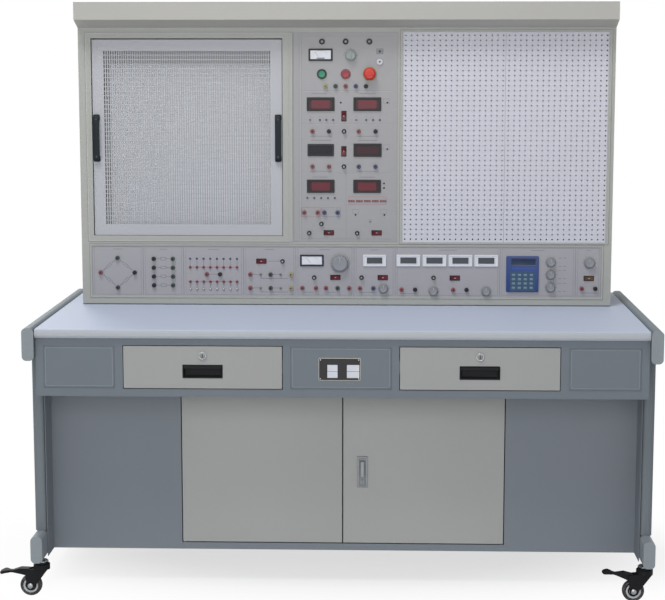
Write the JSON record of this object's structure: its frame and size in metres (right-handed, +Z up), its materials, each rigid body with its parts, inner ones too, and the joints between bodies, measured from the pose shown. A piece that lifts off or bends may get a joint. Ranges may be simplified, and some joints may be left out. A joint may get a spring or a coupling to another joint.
{
  "type": "electrical training bench",
  "caption": "Mobile electrical training bench with a worktop, drawers, a lower cabinet and an upright console of instrument panels, perforated boards and terminals.",
  "frame": {"origin": "on the floor under the middle of the bench", "axes": "+X to the user's right along the bench, +Y away from the user towards the console's back, +Z up"},
  "size_m": [1.7936, 0.81, 1.629],
  "materials": {
    "worktop": "pale blue-grey laminate with a rounded front edge",
    "side_rails": "satin grey powder coat",
    "uprights": "satin blue-grey powder coat",
    "foot_rails": "satin grey powder coat",
    "drawer_unit": "satin blue-grey powder coat",
    "drawer_runners": "zinc-plated steel",
    "lower_cabinet": "satin blue-grey powder coat",
    "castor_stems": "zinc-plated steel",
    "console_shell": "fine-textured light grey powder coat",
    "console_frame": "fine-textured light grey powder coat",
    "header": "fine-textured light grey powder coat",
    "pegboards": "white powder coat, perforated",
    "power_panel": "silver-grey lacquered sheet",
    "module_panel": "silver-grey lacquered sheet",
    "power_meters": "black moulded bezel with a dark window",
    "module_meters": "black moulded bezel with a dark window",
    "keypad_unit": "blue moulded case",
    "terminals": "coloured insulating caps",
    "fuse_holders": "black moulding",
    "panel_fittings": "mixed small fittings",
    "power_supply": "varnished laminations and windings",
    "mesh_board": "light grey powder coat, slotted",
    "left_drawer": "satin warm grey powder coat",
    "left_drawer_lock": "polished chrome",
    "right_drawer": "satin warm grey powder coat",
    "right_drawer_lock": "polished chrome",
    "left_door": "satin warm grey powder coat",
    "right_door": "satin warm grey powder coat",
    "door_latch_lever": "polished chrome",
    "front_left_fork": "black zinc-plated pressing",
    "front_left_wheel": "black tread on a grey hub",
    "front_left_pedal": "black moulded pedal",
    "front_right_fork": "black zinc-plated pressing",
    "front_right_wheel": "black tread on a grey hub",
    "front_right_pedal": "black moulded pedal",
    "rear_left_fork": "black zinc-plated pressing",
    "rear_left_wheel": "black tread on a grey hub",
    "rear_right_fork": "black zinc-plated pressing",
    "rear_right_wheel": "black tread on a grey hub",
    "start_button": "green moulding",
    "stop_button": "red moulding",
    "emergency_stop": "red moulding",
    "power_rocker_upper": "red moulding",
    "power_rocker_middle": "red moulding",
    "power_rocker_left": "red moulding",
    "power_rocker_right": "red moulding",
    "relay_rocker": "red moulding",
    "transformer_rocker": "red moulding",
    "ammeter_rocker": "red moulding",
    "supply_rocker": "red moulding",
    "tacho_rocker": "red moulding",
    "selector_knob": "black moulding with a white pointer",
    "transformer_dial": "black moulding with a white pointer",
    "ammeter_knob": "black moulding with a white pointer",
    "supply_knob_left": "black moulding with a white pointer",
    "supply_knob_right": "black moulding with a white pointer",
    "generator_knob_upper": "black moulding with a white pointer",
    "generator_knob_middle": "black moulding with a white pointer",
    "generator_knob_lower": "black moulding with a white pointer",
    "tacho_knob": "black moulding with a white pointer"
  },
  "bodies": {
    "bench": {"worktop": "worktop", "side_rails": "side_rails", "uprights": "uprights", "foot_rails": "foot_rails", "drawer_unit": "drawer_unit", "drawer_runners": "drawer_runners", "lower_cabinet": "lower_cabinet", "castor_stems": "castor_stems", "console_shell": "console_shell", "console_frame": "console_frame", "header": "header", "pegboards": "pegboards", "power_panel": "power_panel", "module_panel": "module_panel", "power_meters": "power_meters", "module_meters": "module_meters", "keypad_unit": "keypad_unit", "terminals": "terminals", "fuse_holders": "fuse_holders", "panel_fittings": "panel_fittings", "power_supply": "power_supply"},
    "mesh_board": {"mesh_board": "mesh_board"},
    "left_drawer": {"left_drawer": "left_drawer"},
    "left_drawer_lock": {"left_drawer_lock": "left_drawer_lock"},
    "right_drawer": {"right_drawer": "right_drawer"},
    "right_drawer_lock": {"right_drawer_lock": "right_drawer_lock"},
    "left_door": {"left_door": "left_door"},
    "right_door": {"right_door": "right_door"},
    "door_latch_lever": {"door_latch_lever": "door_latch_lever"},
    "front_left_fork": {"front_left_fork": "front_left_fork"},
    "front_left_wheel": {"front_left_wheel": "front_left_wheel"},
    "front_left_pedal": {"front_left_pedal": "front_left_pedal"},
    "front_right_fork": {"front_right_fork": "front_right_fork"},
    "front_right_wheel": {"front_right_wheel": "front_right_wheel"},
    "front_right_pedal": {"front_right_pedal": "front_right_pedal"},
    "rear_left_fork": {"rear_left_fork": "rear_left_fork"},
    "rear_left_wheel": {"rear_left_wheel": "rear_left_wheel"},
    "rear_right_fork": {"rear_right_fork": "rear_right_fork"},
    "rear_right_wheel": {"rear_right_wheel": "rear_right_wheel"},
    "start_button": {"start_button": "start_button"},
    "stop_button": {"stop_button": "stop_button"},
    "emergency_stop": {"emergency_stop": "emergency_stop"},
    "power_rocker_upper": {"power_rocker_upper": "power_rocker_upper"},
    "power_rocker_middle": {"power_rocker_middle": "power_rocker_middle"},
    "power_rocker_left": {"power_rocker_left": "power_rocker_left"},
    "power_rocker_right": {"power_rocker_right": "power_rocker_right"},
    "relay_rocker": {"relay_rocker": "relay_rocker"},
    "transformer_rocker": {"transformer_rocker": "transformer_rocker"},
    "ammeter_rocker": {"ammeter_rocker": "ammeter_rocker"},
    "supply_rocker": {"supply_rocker": "supply_rocker"},
    "tacho_rocker": {"tacho_rocker": "tacho_rocker"},
    "selector_knob": {"selector_knob": "selector_knob"},
    "transformer_dial": {"transformer_dial": "transformer_dial"},
    "ammeter_knob": {"ammeter_knob": "ammeter_knob"},
    "supply_knob_left": {"supply_knob_left": "supply_knob_left"},
    "supply_knob_right": {"supply_knob_right": "supply_knob_right"},
    "generator_knob_upper": {"generator_knob_upper": "generator_knob_upper"},
    "generator_knob_middle": {"generator_knob_middle": "generator_knob_middle"},
    "generator_knob_lower": {"generator_knob_lower": "generator_knob_lower"},
    "tacho_knob": {"tacho_knob": "tacho_knob"}
  },
  "joints": [
    {"name": "mesh_board_lift_out", "type": "slide", "parent": "bench", "child": "mesh_board", "axis": [0, -1, 0], "range_m": [0, 0.15]},
    {"name": "left_drawer_slide", "type": "slide", "parent": "bench", "child": "left_drawer", "axis": [0, -1, 0], "range_m": [0, 0.3]},
    {"name": "left_drawer_lock_turn", "type": "hinge", "parent": "left_drawer", "child": "left_drawer_lock", "pos_m": [-0.369, -0.38, 0.685], "axis": [0, -1, 0], "range_deg": [0, 90]},
    {"name": "right_drawer_slide", "type": "slide", "parent": "bench", "child": "right_drawer", "axis": [0, -1, 0], "range_m": [0, 0.3]},
    {"name": "right_drawer_lock_turn", "type": "hinge", "parent": "right_drawer", "child": "right_drawer_lock", "pos_m": [0.369, -0.38, 0.685], "axis": [0, -1, 0], "range_deg": [0, 90]},
    {"name": "left_door_hinge", "type": "hinge", "parent": "bench", "child": "left_door", "pos_m": [-0.4445, -0.195, 0.34], "axis": [0, 0, -1], "range_deg": [0, 105]},
    {"name": "right_door_hinge", "type": "hinge", "parent": "bench", "child": "right_door", "pos_m": [0.4445, -0.195, 0.34], "axis": [0, 0, 1], "range_deg": [0, 105]},
    {"name": "door_latch_turn", "type": "hinge", "parent": "right_door", "child": "door_latch_lever", "pos_m": [0.055, -0.2, 0.3525], "axis": [0, 1, 0], "range_deg": [0, 90]},
    {"name": "front_left_swivel", "type": "hinge", "parent": "bench", "child": "front_left_fork", "pos_m": [-0.827, -0.321, 0.096], "axis": [0, 0, 1], "continuous": true},
    {"name": "front_left_roll", "type": "hinge", "parent": "front_left_fork", "child": "front_left_wheel", "pos_m": [-0.857, -0.321, 0.03], "axis": [0, 1, 0], "continuous": true},
    {"name": "front_left_brake", "type": "hinge", "parent": "front_left_fork", "child": "front_left_pedal", "pos_m": [-0.865, -0.321, 0.069], "axis": [0, -1, 0], "range_deg": [-12, 0]},
    {"name": "front_right_swivel", "type": "hinge", "parent": "bench", "child": "front_right_fork", "pos_m": [0.827, -0.321, 0.096], "axis": [0, 0, 1], "continuous": true},
    {"name": "front_right_roll", "type": "hinge", "parent": "front_right_fork", "child": "front_right_wheel", "pos_m": [0.797, -0.321, 0.03], "axis": [0, 1, 0], "continuous": true},
    {"name": "front_right_brake", "type": "hinge", "parent": "front_right_fork", "child": "front_right_pedal", "pos_m": [0.789, -0.321, 0.069], "axis": [0, -1, 0], "range_deg": [0, 12]},
    {"name": "rear_left_swivel", "type": "hinge", "parent": "bench", "child": "rear_left_fork", "pos_m": [-0.827, 0.321, 0.096], "axis": [0, 0, 1], "continuous": true},
    {"name": "rear_left_roll", "type": "hinge", "parent": "rear_left_fork", "child": "rear_left_wheel", "pos_m": [-0.857, 0.321, 0.03], "axis": [0, 1, 0], "continuous": true},
    {"name": "rear_right_swivel", "type": "hinge", "parent": "bench", "child": "rear_right_fork", "pos_m": [0.827, 0.321, 0.096], "axis": [0, 0, 1], "continuous": true},
    {"name": "rear_right_roll", "type": "hinge", "parent": "rear_right_fork", "child": "rear_right_wheel", "pos_m": [0.797, 0.321, 0.03], "axis": [0, 1, 0], "continuous": true},
    {"name": "start_button_press", "type": "slide", "parent": "bench", "child": "start_button", "axis": [0, 1, 0], "range_m": [0, 0.004], "stiffness_N_per_m": 500},
    {"name": "stop_button_press", "type": "slide", "parent": "bench", "child": "stop_button", "axis": [0, 1, 0], "range_m": [0, 0.004], "stiffness_N_per_m": 500},
    {"name": "emergency_stop_press", "type": "slide", "parent": "bench", "child": "emergency_stop", "axis": [0, 1, 0], "range_m": [0, 0.005]},
    {"name": "power_rocker_upper_tilt", "type": "hinge", "parent": "bench", "child": "power_rocker_upper", "pos_m": [-0.005, 0.089, 1.306], "axis": [-1, 0, 0], "range_deg": [0, 20]},
    {"name": "power_rocker_middle_tilt", "type": "hinge", "parent": "bench", "child": "power_rocker_middle", "pos_m": [-0.005, 0.089, 1.2045], "axis": [-1, 0, 0], "range_deg": [0, 20]},
    {"name": "power_rocker_left_tilt", "type": "hinge", "parent": "bench", "child": "power_rocker_left", "pos_m": [-0.0485, 0.089, 0.968], "axis": [0, 0, -1], "range_deg": [0, 20]},
    {"name": "power_rocker_right_tilt", "type": "hinge", "parent": "bench", "child": "power_rocker_right", "pos_m": [0.0905, 0.089, 0.968], "axis": [0, 0, -1], "range_deg": [0, 20]},
    {"name": "relay_rocker_tilt", "type": "hinge", "parent": "bench", "child": "relay_rocker", "pos_m": [-0.246, 0.089, 0.884], "axis": [0, 0, -1], "range_deg": [0, 20]},
    {"name": "transformer_rocker_tilt", "type": "hinge", "parent": "bench", "child": "transformer_rocker", "pos_m": [-0.0295, 0.089, 0.837], "axis": [0, 0, -1], "range_deg": [0, 20]},
    {"name": "ammeter_rocker_tilt", "type": "hinge", "parent": "bench", "child": "ammeter_rocker", "pos_m": [0.109, 0.089, 0.837], "axis": [0, 0, -1], "range_deg": [0, 20]},
    {"name": "supply_rocker_tilt", "type": "hinge", "parent": "bench", "child": "supply_rocker", "pos_m": [0.319, 0.089, 0.8365], "axis": [0, 0, -1], "range_deg": [0, 20]},
    {"name": "tacho_rocker_tilt", "type": "hinge", "parent": "bench", "child": "tacho_rocker", "pos_m": [0.708, 0.089, 0.837], "axis": [0, 0, -1], "range_deg": [0, 20]},
    {"name": "selector_knob_turn", "type": "hinge", "parent": "bench", "child": "selector_knob", "pos_m": [0.0145, 0.089, 1.479], "axis": [0, 1, 0], "range_deg": [-60, 60]},
    {"name": "transformer_dial_turn", "type": "hinge", "parent": "bench", "child": "transformer_dial", "pos_m": [-0.016, 0.089, 0.879], "axis": [0, 1, 0], "range_deg": [-150, 150]},
    {"name": "ammeter_knob_turn", "type": "hinge", "parent": "bench", "child": "ammeter_knob", "pos_m": [0.111, 0.089, 0.805], "axis": [0, 1, 0], "range_deg": [-150, 150]},
    {"name": "supply_knob_left_turn", "type": "hinge", "parent": "bench", "child": "supply_knob_left", "pos_m": [0.257, 0.089, 0.798], "axis": [0, 1, 0], "range_deg": [-150, 150]},
    {"name": "supply_knob_right_turn", "type": "hinge", "parent": "bench", "child": "supply_knob_right", "pos_m": [0.41, 0.089, 0.798], "axis": [0, 1, 0], "range_deg": [-150, 150]},
    {"name": "generator_knob_upper_turn", "type": "hinge", "parent": "bench", "child": "generator_knob_upper", "pos_m": [0.597, 0.089, 0.884], "axis": [0, 1, 0], "range_deg": [-150, 150]},
    {"name": "generator_knob_middle_turn", "type": "hinge", "parent": "bench", "child": "generator_knob_middle", "pos_m": [0.597, 0.089, 0.8475], "axis": [0, 1, 0], "range_deg": [-150, 150]},
    {"name": "generator_knob_lower_turn", "type": "hinge", "parent": "bench", "child": "generator_knob_lower", "pos_m": [0.597, 0.089, 0.81], "axis": [0, 1, 0], "range_deg": [-150, 150]},
    {"name": "tacho_knob_turn", "type": "hinge", "parent": "bench", "child": "tacho_knob", "pos_m": [0.709, 0.089, 0.8825], "axis": [0, 1, 0], "range_deg": [-150, 150]}
  ]
}
